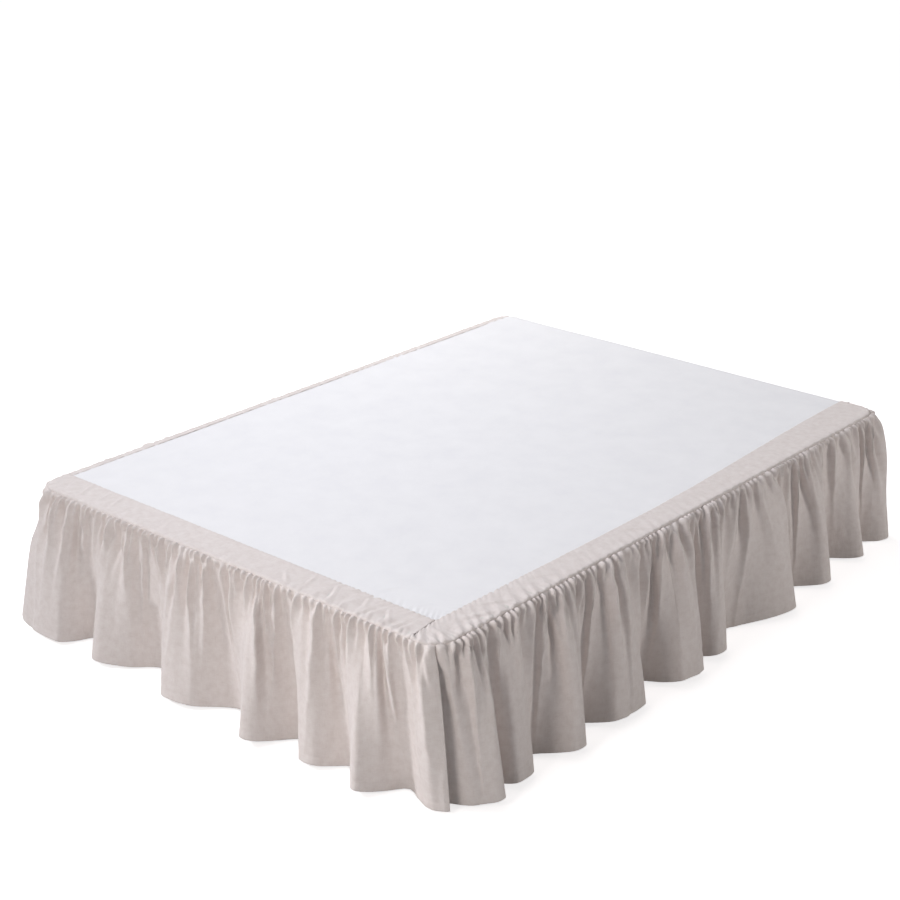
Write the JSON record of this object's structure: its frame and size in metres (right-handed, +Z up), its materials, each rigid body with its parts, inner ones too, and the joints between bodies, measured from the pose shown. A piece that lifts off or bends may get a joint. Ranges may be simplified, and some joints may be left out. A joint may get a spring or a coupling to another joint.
{
  "type": "ruffled bed skirt on a plain bed base",
  "caption": "Gathered bed skirt with a white deck and natural cloth bands, falling in flutes to the floor around a plain box base on round legs.",
  "frame": {"origin": "bottom centre of the bounding box, on the floor under the bed", "axes": "+Z up, +Y from the foot of the bed to the open head end, +X towards the near long side, the one with the wide band"},
  "size_m": [1.6152, 2.0855, 0.396],
  "materials": {
    "deck_cloth": "white plain-weave polycotton sheeting, pressed flat",
    "ruffle_cloth": "washed linen and cotton plain weave, pale natural grey with a pink cast",
    "base_ticking": "close plain ticking stretched over the box",
    "leg_wood": "turned beech, clear satin lacquer"
  },
  "bodies": {
    "root": {"deck": "deck_cloth", "band_foot": "ruffle_cloth", "band_near_side": "ruffle_cloth", "binding_far_side": "ruffle_cloth", "ruffle_foot": "ruffle_cloth", "ruffle_near_side": "ruffle_cloth", "ruffle_far_side": "ruffle_cloth", "base_box": "base_ticking", "leg_1": "leg_wood", "leg_2": "leg_wood", "leg_3": "leg_wood", "leg_4": "leg_wood", "leg_5": "leg_wood", "leg_6": "leg_wood"}
  },
  "joints": []
}
